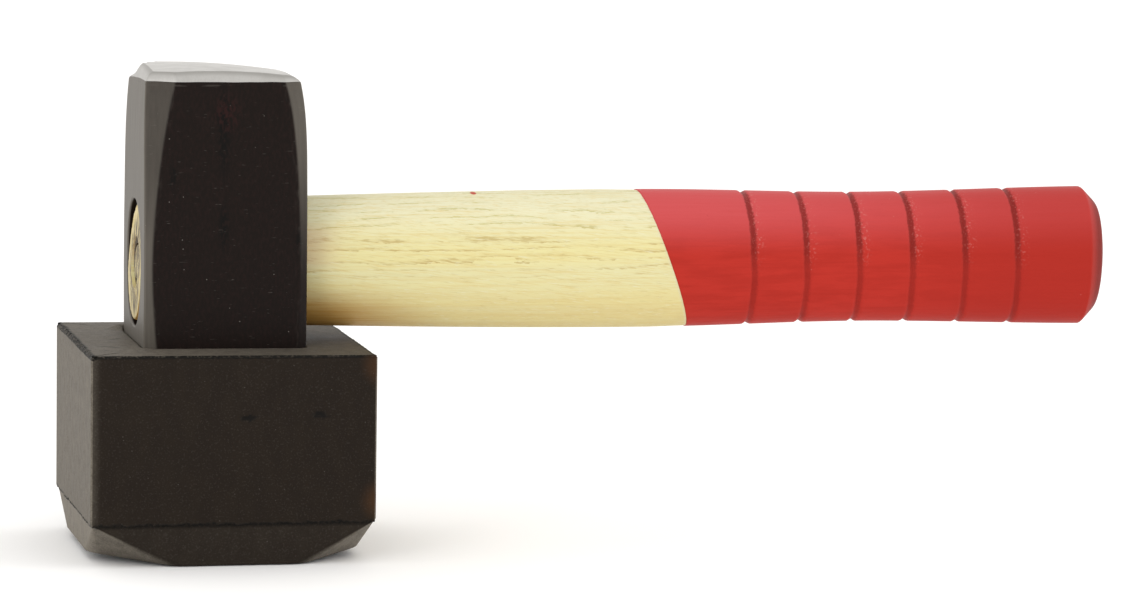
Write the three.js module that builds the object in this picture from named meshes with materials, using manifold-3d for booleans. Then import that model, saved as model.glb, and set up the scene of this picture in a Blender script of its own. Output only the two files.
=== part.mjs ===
// Club hammer with a push-on rubber cap. Sizes are in millimetres.
// The origin is the middle of the cap's sole, +Z runs up the head and +X along the handle to the butt.
import * as THREE from "three";
import { ConvexGeometry } from "three/addons/geometries/ConvexGeometry.js";
import { mergeVertices } from "three/addons/utils/BufferGeometryUtils.js";
import Module from "manifold-3d";

const wasm = await Module();
wasm.setup();

// Head
const HEAD_WIDTH = 45; // square section across the flats, at the eye
const HEAD_LENGTH = 110; // striking face to striking face
const DRAW_IN_EYE_SIDE = 0.7; // how far the side with the eye's open mouth leans in, from the eye to the face
const DRAW_IN_HANDLE_SIDE = 1.7;
const DRAW_IN_CHEEK = 1.2;
const DRAW_IN_POWER = 6; // the sides stay straight for long and curve in close to the face
const FACET_AT_EYE = 2.2; // edge facet across the cheek, at its narrowest
const FACET_EYE_SIDE = 7.6; // edge facet across the cheek, at the face, on the eye's open side
const FACET_HANDLE_SIDE = 4.8; // the same on the handle's side
const FACET_POWER = 1.7; // how the facets' arcs open towards the faces
const FACET_LEAN = 0.6; // the facet's width across the other side, for each millimetre across the cheek
const FACE_CHAMFER_HEIGHT = 2.8; // ground ring round each face
const FACE_CHAMFER_INSET = 2.2;
const FACE_CHAMFER_HANDLE_SIDE = 3.9; // ground further in above the handle
const FACE_CORNER = 0.9; // least corner cut left on the face's outline
const FACE_CROWN = 1.4;
const FACE_FLAT = 16; // flat middle of the crowned face
const HEAD_STEPS = 24;
const SOCKET_STEPS = 12;
const DOME_STEPS = 3;

// Eye and handle
const EYE_HEIGHT = 36.6; // at the handle's side
const EYE_WIDTH = 26;
const EYE_MOUTH_HEIGHT = 35; // at the open mouth, where the wedge spreads the wood sideways
const EYE_MOUTH_WIDTH = 26.8;
const TENON_RECESS = 0.6; // wood stops short of the head's outer face
const HANDLE_LENGTH = 280; // from the head's outer face to the butt
const BELLY_FROM_BUTT = 135.5;
const BELLY_HEIGHT = 39;
const BELLY_WIDTH = 27.4;
const WAIST_FROM_BUTT = 74.5;
const WAIST_HEIGHT = 36.9;
const WAIST_WIDTH = 26;
const BUTT_HEIGHT = 39.6;
const BUTT_WIDTH = 27.8;
const BUTT_CHAMFER = 4.4;
const BUTT_DOME = 2.3;
const BUTT_FLAT = 16; // flat middle of the domed end, measured upright
const OVAL_POWER = 2.2; // 2 is an ellipse, and more is squarer
const OVAL_POINTS = 28;
const CURVE_STEPS = 6; // rings along each of the handle's curves

// Grip
const GROOVE_COUNT = 6;
const GROOVE_PITCH = 15.5;
const LAST_GROOVE_FROM_BUTT = 28.7;
const GROOVE_WIDTH = 2.6;
const GROOVE_DEPTH = 0.9;
const COAT_THICKNESS = 0.4;
const COAT_FROM_BUTT = 130.4; // the coat's upper edge, on the handle's axis
const COAT_EDGE_TILT = 20.3; // degrees that the edge leans from square, as it was dipped

// Ring wedge
const WEDGE_DIAMETER = 14;
const WEDGE_TAPER = 0.6; // how far the outside draws in towards the tip
const WEDGE_WALL = 1.8;
const WEDGE_TIP = 0.5; // wall at the tip
const WEDGE_LENGTH = 20;
const WEDGE_RECESS = 0.4; // below the wood's end
const WEDGE_SIDES = 32;

// Rubber cap
const CAP_WIDTH = 78.5;
const CAP_EDGE = 0.8; // small chamfer on the upright and top edges
const SOLE_THICKNESS = 24; // rubber under the head
const RIM_BELOW_EYE = 3; // the rim stops short of the handle
const PARTING_HEIGHT = 11.6; // mould's parting line above the sole
const PARTING_STEP = 0.6; // the lower mould half is a little smaller
const BASE_DRAFT = 1.2; // how far the base leans in from the parting line to the sole
const SOLE_STRIP = 35; // flat middle of the sole, along the handle
const SOLE_SIDE_EDGE = 46; // straight edge at each end of the sole
const SOLE_RISE = 2.2; // the sole climbs this far towards those edges

// Gap kept between pieces that bear on each other
const CLEARANCE = 0.3;

const HEAD_BOTTOM = SOLE_THICKNESS + CLEARANCE;
const EYE_Z = HEAD_BOTTOM + HEAD_LENGTH / 2;
const FACE_RISE = HEAD_LENGTH / 2;
const CHAMFER_RISE = FACE_RISE - FACE_CROWN - FACE_CHAMFER_HEIGHT;
const EYE_MOUTH_X = -HEAD_WIDTH / 2;
const EYE_HANDLE_X = HEAD_WIDTH / 2;
const TENON_END_X = EYE_MOUTH_X + TENON_RECESS;
const BUTT_X = EYE_MOUTH_X + HANDLE_LENGTH;
const BELLY_X = BUTT_X - BELLY_FROM_BUTT;
const WAIST_X = BUTT_X - WAIST_FROM_BUTT;
const COAT_X = BUTT_X - COAT_FROM_BUTT;
const CAP_TOP = EYE_Z - EYE_HEIGHT / 2 - RIM_BELOW_EYE;
const OVERSHOOT = 5; // how far a cutter runs past what it cuts

const { lerp, smoothstep, degToRad } = THREE.MathUtils;

// Solids and meshes

function solid(geometry) {
  const bare = new THREE.BufferGeometry();
  bare.setAttribute("position", geometry.getAttribute("position"));
  bare.setIndex(geometry.index);
  const merged = mergeVertices(bare);
  const vertProperties = new Float32Array(merged.getAttribute("position").array);
  const triVerts = new Uint32Array(merged.index.array);
  return new wasm.Manifold(new wasm.Mesh({ numProp: 3, vertProperties, triVerts }));
}

function meshOf(name, shape, look) {
  const { vertProperties, triVerts } = shape.getMesh();
  const geometry = new THREE.BufferGeometry();
  geometry.setAttribute("position", new THREE.BufferAttribute(vertProperties, 3));
  geometry.setIndex(new THREE.BufferAttribute(triVerts, 1));
  geometry.computeVertexNormals();
  const mesh = new THREE.Mesh(geometry, new THREE.MeshStandardMaterial({ flatShading: true, ...look }));
  mesh.name = name;
  return mesh;
}

// A closed solid skinned over rings of equally many points, each turning left as seen from the last ring.
function loft(rings) {
  const count = rings[0].length;
  const last = (rings.length - 1) * count;
  const index = [];
  for (let start = 0; start < last; start += count) {
    for (let i = 0; i < count; i++) {
      const a = start + i;
      const b = start + ((i + 1) % count);
      index.push(a, b, b + count, a, b + count, a + count);
    }
  }
  for (let i = 1; i + 1 < count; i++) {
    index.push(0, i + 1, i);
    index.push(last, last + i, last + i + 1);
  }
  const geometry = new THREE.BufferGeometry().setFromPoints(rings.flat());
  geometry.setIndex(index);
  return solid(geometry);
}

function hull(rings) {
  return solid(new ConvexGeometry(rings.flat()));
}

function spaced(from, to, steps) {
  return Array.from({ length: steps + 1 }, (_, i) => lerp(from, to, i / steps));
}

// Eight points round a level section, turning left as seen from above. Each side reaches out to its own x,
// and its facets cut the corners by a leg across the cheek and one along the side.
function octagon({ y, z, left, right }) {
  const half = [
    [right.x, y - right.along],
    [right.x - right.across, y],
    [left.across - left.x, y],
    [-left.x, y - left.along],
  ];
  const back = half.map(([px, py]) => new THREE.Vector3(px, py, z));
  const front = half.map(([px, py]) => new THREE.Vector3(px, -py, z)).reverse();
  return [...back, ...front];
}

function raised(ring, z) {
  return ring.map((p) => new THREE.Vector3(p.x, p.y, z));
}

// Rings that close a rim with a low dome and a flat middle. The dome rises from the rim's centre to its top.
function domeRings(rim, centre, top, flatShare) {
  return spaced(0, 1, DOME_STEPS).map((t) => {
    const middle = centre.clone().lerp(top, 1 - (1 - t) ** 2);
    const share = lerp(1, flatShare, t);
    return rim.map((p) => p.clone().sub(centre).multiplyScalar(share).add(middle));
  });
}

// Head

// How far a side with this draw-in stands from the head's axis, at a rise above the eye's centre.
function headHalf(rise, drawIn) {
  return HEAD_WIDTH / 2 - drawIn * (Math.abs(rise) / CHAMFER_RISE) ** DRAW_IN_POWER;
}

const EYE_SIDE = {
  drawIn: DRAW_IN_EYE_SIDE,
  facet: FACET_EYE_SIDE,
  chamfer: FACE_CHAMFER_INSET,
};
const HANDLE_SIDE = {
  drawIn: DRAW_IN_HANDLE_SIDE,
  facet: FACET_HANDLE_SIDE,
  chamfer: FACE_CHAMFER_HANDLE_SIDE,
};

// One side of the head's section, with the facet that has opened this far towards the face.
function headSide(rise, { drawIn, facet }, grow) {
  const across = lerp(FACET_AT_EYE, facet, (Math.abs(rise) / CHAMFER_RISE) ** FACET_POWER);
  return { x: headHalf(rise, drawIn) + grow, across, along: across * FACET_LEAN };
}

// The head's section at a rise above the eye's centre, larger all round by grow.
function headSection(rise, grow) {
  return octagon({
    y: headHalf(rise, DRAW_IN_CHEEK) + grow,
    z: EYE_Z + rise,
    left: headSide(rise, EYE_SIDE, grow),
    right: headSide(rise, HANDLE_SIDE, grow),
  });
}

// One side of the face's outline inside the ground ring, with its corners cut as the edge facets are.
function faceSide({ drawIn, facet, chamfer }) {
  const across = Math.max(FACE_CORNER, facet - chamfer);
  const along = Math.max(FACE_CORNER, across * FACET_LEAN);
  return { x: headHalf(CHAMFER_RISE, drawIn) - chamfer, across, along };
}

// Crowned face from its rim to its flat middle. side is 1 at the top and -1 at the bottom.
function faceRings(side) {
  const rimZ = EYE_Z + side * (FACE_RISE - FACE_CROWN);
  const rim = octagon({
    y: headHalf(CHAMFER_RISE, DRAW_IN_CHEEK) - FACE_CHAMFER_INSET,
    z: rimZ,
    left: faceSide(EYE_SIDE),
    right: faceSide(HANDLE_SIDE),
  });
  const centre = new THREE.Vector3(0, 0, rimZ);
  const top = new THREE.Vector3(0, 0, EYE_Z + side * FACE_RISE);
  return domeRings(rim, centre, top, FACE_FLAT / HEAD_WIDTH);
}

// The eye's oval at x. It is taller at the handle's side and wider at its open mouth.
function eyeSize(x) {
  const mouth = { height: EYE_MOUTH_HEIGHT, width: EYE_MOUTH_WIDTH };
  const handleSide = { height: EYE_HEIGHT, width: EYE_WIDTH };
  return mixed(mouth, handleSide, (x - EYE_MOUTH_X) / HEAD_WIDTH);
}

function eyeCutter() {
  const ends = [EYE_MOUTH_X - OVERSHOOT, EYE_HANDLE_X + OVERSHOOT];
  return loft(ends.map((x) => oval(x, eyeSize(x), 0)));
}

function hammerHead() {
  const body = spaced(-CHAMFER_RISE, CHAMFER_RISE, HEAD_STEPS).map((rise) => headSection(rise, 0));
  return loft([...faceRings(-1).reverse(), ...body, ...faceRings(1)]).subtract(eyeCutter());
}

// Handle and coat

function oval(x, { height, width }, inset) {
  return Array.from({ length: OVAL_POINTS }, (_, i) => {
    const angle = (2 * Math.PI * i) / OVAL_POINTS;
    const bend = (v) => Math.sign(v) * Math.abs(v) ** (2 / OVAL_POWER);
    const y = (width / 2 - inset) * bend(Math.cos(angle));
    const z = (height / 2 - inset) * bend(Math.sin(angle));
    return new THREE.Vector3(x, y, EYE_Z + z);
  });
}

function mixed(a, b, share) {
  return { height: lerp(a.height, b.height, share), width: lerp(a.width, b.width, share) };
}

// Bare wood's height and width at x, before grooves.
function handleSize(x) {
  const eye = eyeSize(Math.min(x, EYE_HANDLE_X));
  const tenon = { height: eye.height - 2 * CLEARANCE, width: eye.width - 2 * CLEARANCE };
  const belly = { height: BELLY_HEIGHT, width: BELLY_WIDTH };
  const waist = { height: WAIST_HEIGHT, width: WAIST_WIDTH };
  const butt = { height: BUTT_HEIGHT, width: BUTT_WIDTH };
  const swell = (x - EYE_HANDLE_X) / (BELLY_X - EYE_HANDLE_X);
  if (x <= EYE_HANDLE_X) return tenon;
  if (x <= BELLY_X) return mixed(tenon, belly, Math.sin((swell * Math.PI) / 2));
  if (x <= WAIST_X) return mixed(belly, waist, smoothstep(x, BELLY_X, WAIST_X));
  return mixed(waist, butt, smoothstep(x, WAIST_X, BUTT_X));
}

function grooves() {
  return Array.from({ length: GROOVE_COUNT }, (_, i) => BUTT_X - LAST_GROOVE_FROM_BUTT - i * GROOVE_PITCH);
}

function grooveDepth(x) {
  const nearest = Math.min(...grooves().map((g) => Math.abs(x - g)));
  return GROOVE_DEPTH * Math.max(0, 1 - nearest / (GROOVE_WIDTH / 2));
}

function handleRing(x, inset) {
  return oval(x, handleSize(x), inset + grooveDepth(x));
}

// Where the handle's rings stand between two places: along each curve, and at each groove's edges and bed.
function stations(from, to) {
  const curves = [
    ...spaced(EYE_HANDLE_X, BELLY_X, CURVE_STEPS),
    ...spaced(BELLY_X, WAIST_X, CURVE_STEPS),
    ...spaced(WAIST_X, BUTT_X, CURVE_STEPS),
  ];
  const cuts = grooves().flatMap((g) => [g - GROOVE_WIDTH / 2, g, g + GROOVE_WIDTH / 2]);
  const clear = curves.filter((x) => grooves().every((g) => Math.abs(x - g) > GROOVE_WIDTH));
  const between = [...clear, ...cuts].filter((x) => x > from + GROOVE_WIDTH && x < to - GROOVE_WIDTH);
  return [from, ...between.sort((a, b) => a - b), to];
}

// The handle from a place to its domed butt, smaller all round by inset.
function handleBody(from, inset) {
  const end = BUTT_X - inset;
  const rimX = end - BUTT_DOME;
  const shoulderX = rimX - BUTT_CHAMFER;
  const rim = oval(rimX, handleSize(rimX), inset + BUTT_CHAMFER);
  const centre = new THREE.Vector3(rimX, 0, EYE_Z);
  const top = new THREE.Vector3(end, 0, EYE_Z);
  const body = stations(from, shoulderX).map((x) => handleRing(x, inset));
  return loft([...body, ...domeRings(rim, centre, top, BUTT_FLAT / BUTT_HEIGHT)]);
}

// Everything on the butt's side of the coat's slanted edge, with the edge moved towards the head by shift.
function gripSide(shift) {
  const size = 2 * HANDLE_LENGTH;
  const box = new THREE.BoxGeometry(size, size, size);
  box.translate(size / 2 - shift, 0, 0);
  box.rotateY(-degToRad(COAT_EDGE_TILT));
  box.translate(COAT_X, 0, EYE_Z);
  return solid(box);
}

const UNDER_COAT_X = COAT_X - BELLY_HEIGHT; // inner surfaces start here, well above the coat's edge

function handle() {
  const bareEnd = handleBody(TENON_END_X, 0).subtract(gripSide(CLEARANCE));
  const core = handleBody(UNDER_COAT_X, COAT_THICKNESS + CLEARANCE);
  return bareEnd.add(core).subtract(wedgeRing(CLEARANCE));
}

function gripCoating() {
  const outside = handleBody(UNDER_COAT_X, 0);
  const inside = handleBody(UNDER_COAT_X - OVERSHOOT, COAT_THICKNESS);
  return outside.subtract(inside).intersect(gripSide(0));
}

// Ring wedge, larger all round by grow when it is the slot cut for it.
function wedgeRing(grow) {
  const mouth = grow > 0 ? -OVERSHOOT : 0;
  const outer = WEDGE_DIAMETER / 2 + grow;
  const tip = outer - WEDGE_TAPER;
  const profile = [
    new THREE.Vector2(outer, mouth),
    new THREE.Vector2(tip, WEDGE_LENGTH + grow),
    new THREE.Vector2(tip - WEDGE_TIP - 2 * grow, WEDGE_LENGTH + grow),
    new THREE.Vector2(outer - WEDGE_WALL - 2 * grow, mouth),
    new THREE.Vector2(outer, mouth),
  ];
  const ring = new THREE.LatheGeometry(profile, WEDGE_SIDES);
  ring.rotateZ(-Math.PI / 2);
  ring.translate(TENON_END_X + WEDGE_RECESS, 0, EYE_Z);
  return solid(ring);
}

// Rubber cap

function squareRing(half, z) {
  const side = { x: half, across: CAP_EDGE, along: CAP_EDGE };
  return octagon({ y: half, z, left: side, right: side });
}

// The sole's corners: a flat strip across the middle, climbing to a straight edge at each end.
function solePoints() {
  const half = CAP_WIDTH / 2 - PARTING_STEP - BASE_DRAFT;
  const corners = [-1, 1].flatMap((end) => [
    [(end * SOLE_STRIP) / 2, half, 0],
    [end * half, SOLE_SIDE_EDGE / 2, SOLE_RISE],
  ]);
  return corners.flatMap(([x, y, z]) => [new THREE.Vector3(x, y, z), new THREE.Vector3(x, -y, z)]);
}

// The head's own section carried straight down to a flat floor, with room all round.
function socket() {
  const floor = HEAD_BOTTOM - CLEARANCE - EYE_Z;
  const mouth = CAP_TOP + OVERSHOOT - EYE_Z;
  const levels = spaced(-CHAMFER_RISE, mouth, SOCKET_STEPS).map((rise) => headSection(rise, CLEARANCE));
  return loft([raised(levels[0], EYE_Z + floor), ...levels]);
}

function rubberCap() {
  const half = CAP_WIDTH / 2;
  const block = hull([
    squareRing(half, PARTING_HEIGHT),
    squareRing(half, CAP_TOP - CAP_EDGE),
    squareRing(half - CAP_EDGE, CAP_TOP),
  ]);
  const base = hull([
    solePoints(),
    squareRing(half - PARTING_STEP, PARTING_HEIGHT),
    squareRing(half - PARTING_STEP, PARTING_HEIGHT + OVERSHOOT),
  ]);
  return block.add(base).subtract(socket());
}

// Looks and assembly

const BLACK_LACQUER = { color: 0x2b2624, roughness: 0.5, metalness: 0.4 };
const ASH = { color: 0xe3d79c, roughness: 0.6, metalness: 0 };
const RED_COAT = { color: 0xc23734, roughness: 0.45, metalness: 0 };
const DULL_STEEL = { color: 0x6e675c, roughness: 0.6, metalness: 0.9 };
const BLACK_RUBBER = { color: 0x2f2a26, roughness: 0.85, metalness: 0 };

const hammer = new THREE.Group();
hammer.add(meshOf("hammer_head", hammerHead(), BLACK_LACQUER));
hammer.add(meshOf("handle", handle(), ASH));
hammer.add(meshOf("grip_coating", gripCoating(), RED_COAT));
hammer.add(meshOf("ring_wedge", wedgeRing(0), DULL_STEEL));

const cap = new THREE.Group();
cap.add(meshOf("rubber_cap", rubberCap(), BLACK_RUBBER));

const clubHammer = new THREE.Group();
clubHammer.add(hammer, cap);

export default clubHammer;
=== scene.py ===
# Looks of a club hammer with a push-on rubber cap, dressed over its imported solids.
# Sizes are in millimetres in the part's own frame: +Z up the head, +X along the handle to the butt.
import math

import bpy
import numpy as np
from mathutils import Matrix, Vector, noise


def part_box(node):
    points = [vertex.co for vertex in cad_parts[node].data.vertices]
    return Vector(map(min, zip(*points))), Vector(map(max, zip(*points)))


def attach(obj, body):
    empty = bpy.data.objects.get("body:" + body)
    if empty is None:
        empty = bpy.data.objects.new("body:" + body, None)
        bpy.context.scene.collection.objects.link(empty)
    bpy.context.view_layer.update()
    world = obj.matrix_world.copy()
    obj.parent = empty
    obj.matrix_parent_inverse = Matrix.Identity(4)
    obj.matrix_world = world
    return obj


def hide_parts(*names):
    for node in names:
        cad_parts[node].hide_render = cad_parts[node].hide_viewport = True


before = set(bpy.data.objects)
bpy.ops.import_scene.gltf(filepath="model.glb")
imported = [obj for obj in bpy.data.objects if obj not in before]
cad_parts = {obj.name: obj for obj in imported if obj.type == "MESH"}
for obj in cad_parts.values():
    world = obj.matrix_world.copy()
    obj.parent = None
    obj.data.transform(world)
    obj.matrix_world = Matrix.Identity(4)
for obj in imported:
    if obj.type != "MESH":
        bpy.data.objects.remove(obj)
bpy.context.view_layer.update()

MM = 0.001


def box_of(node):
    low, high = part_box(node)
    return np.array(low) / MM, np.array(high) / MM


HEAD_LOW, HEAD_HIGH = box_of("hammer_head")
HANDLE_LOW = box_of("handle")[0]
COAT_HIGH = box_of("grip_coating")[1]
WEDGE_LOW, WEDGE_HIGH = box_of("ring_wedge")
CAP_LOW, CAP_HIGH = box_of("rubber_cap")

# Head
HEAD_HALF = HEAD_HIGH[1]
EYE_Z = (HEAD_LOW[2] + HEAD_HIGH[2]) / 2
FACE_RISE = HEAD_HIGH[2] - EYE_Z
DRAW_IN_EYE_SIDE = 0.7  # how far the side with the eye's open mouth leans in, from the eye to the face
DRAW_IN_HANDLE_SIDE = 1.7
DRAW_IN_CHEEK = 1.2
DRAW_IN_POWER = 6
FACET_AT_EYE = 2.2  # edge facet across the cheek, at its narrowest
FACET_EYE_SIDE = 7.6  # the same at the face, on the eye's open side
FACET_HANDLE_SIDE = 4.8
FACET_POWER = 1.7
FACET_LEAN = 0.6  # the facet's width across the other side, for each millimetre across the cheek
GROUND_RING = 4.2  # from the face's highest point down to the ring's lower edge
RING_INSET = 2.2
RING_INSET_HANDLE_SIDE = 3.9
RING_WAVE = 0.14  # the ring was ground by hand
RING_WAVE_SIZE = 5.0
FACE_CORNER = 0.9
CROWN_DROP = 1.0  # how much lower the face lies at CROWN_REACH from its highest place
CROWN_REACH = 19.0
CROWN_PLACE = np.array([-8.7, -2.0])  # highest place of the upper face
CROWN_TWIST = 0.0016  # fall for each square millimetre towards the back of the handle's side
CORNER_PLACE = np.array([-19.9, 4.2])  # the corner behind the eye's mouth was ground off, beyond this place
CORNER_WAY = np.array([-0.92, 0.39])
CORNER_FALL = 4.0  # how far the face falls there
CORNER_REACH = 2.6
CORNER_RING_FALL = 0.12
EDGE_ROUND = 0.5  # worn edges of the forging
RING_ROUND = 0.3
RING_FULL = np.array([0.3, 0.75])  # share of the ring's width and height at which its slope is fullest
FACE_ROUND = 0.3
FORGE_WAVE = 0.05  # unevenness of the forged sides
FORGE_WAVE_SIZE = 14.0
FORGE_EDGE = 1.0  # no hollows this near the ground rings
HEAD_STEP = 1.1
FACE_SHARES = (1.0, 0.9, 0.75, 0.55, 0.35, 0.15)  # rings of the face, from its rim inwards
SLOPE_SHARES = (0.25, 0.5, 0.75)
CHAMFER_RISE = FACE_RISE - GROUND_RING

# Eye and handle
EYE_SIZE = np.array([36.6, 26.0])  # height and width at the handle's side
EYE_MOUTH_SIZE = np.array([35.0, 26.8])
EYE_LIP = 0.7
EYE_DEPTHS = [-2.0, 0.0, 0.05, 0.15, 0.3, 0.5, EYE_LIP, 4.0]  # rings of the cutter, from outside
TENON_FREE = 0.3  # gap round the tenon
TENON_TWIST = math.radians(8.0)  # the tenon sits a little turned in the eye's mouth
TENON_SLIM = np.array([0.9, 0.15])  # it was whittled down at its end, mostly at the top and bottom
TENON_SLIM_LENGTH = 9.0
TENON_EDGE = 0.4
END_SLANT = 0.06  # the end was sawn out of square, deeper in the eye at the top
END_LEVEL = -3.0  # below this height from the eye's centre it is nearly flush
END_RECESS = 0.15
END_ROUGH = 0.16
END_ROUGH_SIZE = 1.1
END_ROWS = 14
PLUG_SHARES = (0.1, 0.3, 0.5, 0.7, 0.9)  # rings of the wood inside the wedge
BUTT_X = COAT_HIGH[0]
BELLY_X = BUTT_X - 135.5
BELLY_SIZE = np.array([39.0, 27.4])
WAIST_X = BUTT_X - 74.5
WAIST_SIZE = np.array([36.9, 26.0])
BUTT_SIZE = np.array([39.6, 27.8])
BUTT_CHAMFER = 4.4
BUTT_DOME = 2.3
BUTT_ROUND = 1.4
BUTT_CLEAR = 1.0  # the wood's plain rings stop this far from the butt's shoulder
DOME_SHARES = (0.85, 0.65, 0.4, 0.15)
OVAL_POWER = 2.2
OVAL_POINTS = 160
HANDLE_STEP = 1.0

# Grip
GROOVE_COUNT = 6
GROOVE_PITCH = 15.5
LAST_GROOVE_FROM_BUTT = 28.7
GROOVE_WIDTH = 2.6
GROOVE_DEPTH = 0.8
WOOD_GROOVE_DEPTH = 1.1  # under the coat
GROOVE_LEAN = 0.036  # the grooves lean back this much for each millimetre up
GROOVE_WANDER = 0.3  # and wander a little
GROOVE_WANDER_SIZE = 9.0
GROOVE_UNEVEN = 0.25
GROOVE_UNEVEN_SIZE = 4.0
CHIP_PLACE = 1.5  # the coat chips on the shoulder behind each groove
CHIP_REACH = 1.3
COAT_THICKNESS = 0.4
COAT_PROUD = 0.18  # the coat's edge stands on the bare wood
COAT_UNDERCUT = 0.1  # room between the wood and the coat's underside
COAT_X = BUTT_X - 130.4
COAT_TILT = math.radians(20.3)
COAT_FEED = 12.0  # length over which the wood sinks to the coat's underside
COAT_SINK = 1.0  # length over which it then drops below the coat
COAT_LIP = 0.1  # the edge bulges out over the wood
COAT_STEP = 0.45
SLANT_LENGTH = 2.0  # the rings are square this far past the slanted edge
SLANT_STEPS = 25
GROOVES = [BUTT_X - LAST_GROOVE_FROM_BUTT - i * GROOVE_PITCH for i in range(GROOVE_COUNT)]

# Ring wedge
WEDGE_RADIUS = WEDGE_HIGH[1]
WEDGE_WALL = 1.8
WEDGE_TAPER = 0.6
WEDGE_TIP = 0.5
WEDGE_ROUND = 0.3
WEDGE_FREE = 0.15
PLUG_SINK = 0.5  # the crushed wood inside the ring lies deeper

# Rubber cap
CAP_TOP = CAP_HIGH[2]
FLASH_REACH = 0.15  # the flash on the parting line reaches out to the CAD box
CAP_HALF = CAP_HIGH[0] - FLASH_REACH
CAP_CORNER = 0.45  # upright edges
CAP_FREE = 0.3  # gap round the head
CAP_LIP = 0.6
RIM_LEAN = np.array([-0.006, 0.006])  # the rim was cut a little out of level
RIM_DROP = 0.22
TRIM = 0.6  # edge round the top, where the flash was cut off
TRIM_LEFT = 1.0
CURL_RISE = 1.5  # the rim curls up at one corner of the head
CURL_PLACE = np.array([-23.0, 22.5])
CURL_REACH = 2.6
PARTING_Z = 11.6
PARTING_STEP = 0.6
SEAM_PIT = 0.35  # the torn seam dips this far in between its tatters
SEAM_WAVE = 0.45
SEAM_WAVE_SIZE = 3.0
SEAM_FOOT = 0.25  # the base ends this far below the parting line
SEAM_RISES = (-0.1, 0.15, 0.6)
SIDE_FOOT = 1.4  # the plain sides start this far above it
SIDE_HEAD = 0.3  # and end this far below the trimmed edge
BASE_DRAFT = 1.2
BASE_DRAFT_LEFT = 0.3
SOLE_STRIP = np.array([-16.2, 19.4])  # flat strip across the sole, along the handle
SOLE_SIDE_EDGE = 46.0
SOLE_RISE = 2.2
SOLE_ROUND = 0.7
SOLE_CORNER = 4.0
SOLE_SHARES = (0.1, 0.4, 0.7, 0.9)  # rings of the sole, from its middle outwards
BASE_STEPS = 12
SOCKET_FLOOR = HEAD_LOW[2] - CAP_FREE
SOCKET_MOUTH = 1.5  # the rounded mouth's depth
SOCKET_STEPS = 14
SOCKET_SHARES = (0.8, 0.5, 0.2)  # rings of the socket's floor
RIM_STEPS = 20
CAP_STEP = 0.6
RAGGED_SIZE = 0.9  # length of the tatters on cut edges
RAGGED_PATCH = 9.0  # length over which they come and go
SCUFFS = [np.array([4.1, 40.6]), np.array([23.5, 41.1])]  # worn places on the front, by x and z
SCUFF_REACH = np.array([2.6, 1.0])
SCUFF_DEPTH = 0.3

# Camera fitted to the photograph, whose frame is 1134 by 612 pixels
FRAME_WIDTH = 1134
FOCAL_PIXELS = 4984
SENSOR = 36.0
CAMERA_TARGET = np.array([100.38, 0.0, 65.81])
CAMERA_DISTANCE = 1405.1
CAMERA_YAW = math.radians(-12.71)
CAMERA_PITCH = math.radians(6.29)
CAMERA_ROLL = math.radians(0.854)
CAMERA_CLIP = (0.01, 100.0)


# Points and rings

def lerp(a, b, share):
    return a + (b - a) * share


def smoothstep(value, low, high):
    share = np.clip((value - low) / (high - low), 0, 1)
    return share * share * (3 - 2 * share)


def rough(points, size, seed=0.0):
    """Smooth noise from -1 to 1 at each point, with waves of about this size."""
    shift = Vector((seed, seed, seed))
    return np.array([noise.noise(Vector(p) / size + shift) for p in points])


def toward(start, end, distance):
    """Points moved this far from start to end, and less than half the way."""
    length = np.linalg.norm(end - start, axis=-1, keepdims=True)
    return start + (end - start) * np.minimum(distance / np.maximum(length, 1e-9), 0.45)


def bend(start, corner, end, share):
    return (1 - share) ** 2 * start + 2 * share * (1 - share) * corner + share ** 2 * end


def rounded_ring(corners, radius, side_steps, arc_steps=4):
    """A level outline with its corners rounded and its sides divided."""
    points = []
    for i, corner in enumerate(corners):
        after = corners[(i + 1) % len(corners)]
        start = toward(corner, corners[i - 1], radius)
        end = toward(corner, after, radius)
        points += [bend(start, corner, end, t) for t in np.linspace(0, 1, arc_steps + 1)]
        side_end = toward(after, corner, radius)
        points += [lerp(end, side_end, t) for t in np.linspace(0, 1, side_steps[i] + 1)[1:-1]]
    return np.array(points)


def at_height(ring, z):
    return np.column_stack([ring[:, :2], np.broadcast_to(z, len(ring))])


ROUND_STEPS = 4


def rounded_profile(rings, rounds):
    """The rings with each one that has a round replaced by an arc between its neighbours."""
    made = []
    for i, (ring, radius) in enumerate(zip(rings, rounds)):
        if radius == 0:
            made.append(ring)
            continue
        start = toward(ring, rings[i - 1], radius)
        end = toward(ring, rings[i + 1], radius)
        made += [bend(start, ring, end, t) for t in np.linspace(0, 1, ROUND_STEPS + 1)]
    return made


def between(first, last, steps):
    return [lerp(first, last, t) for t in np.linspace(0, 1, steps + 1)[1:-1]]


def skin(rings):
    """Points and faces of a closed surface through rings of equally many points, each turning left."""
    count = len(rings[0])
    last = (len(rings) - 1) * count
    points = np.vstack([*rings, rings[0].mean(0), rings[-1].mean(0)])
    first_hub = len(points) - 2
    last_hub = len(points) - 1
    faces = []
    for start in range(0, last, count):
        for i in range(count):
            j = (i + 1) % count
            faces.append((start + i, start + j, start + count + j, start + count + i))
    for i in range(count):
        j = (i + 1) % count
        faces.append((first_hub, j, i))
        faces.append((last_hub, last + i, last + j))
    return points, faces


def mesh_object(name, points, faces):
    mesh = bpy.data.meshes.new(name)
    mesh.from_pydata((np.asarray(points) * MM).tolist(), [], faces)
    mesh.polygons.foreach_set("use_smooth", [True] * len(mesh.polygons))
    made = bpy.data.objects.new(name, mesh)
    bpy.context.scene.collection.objects.link(made)
    return made


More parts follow.
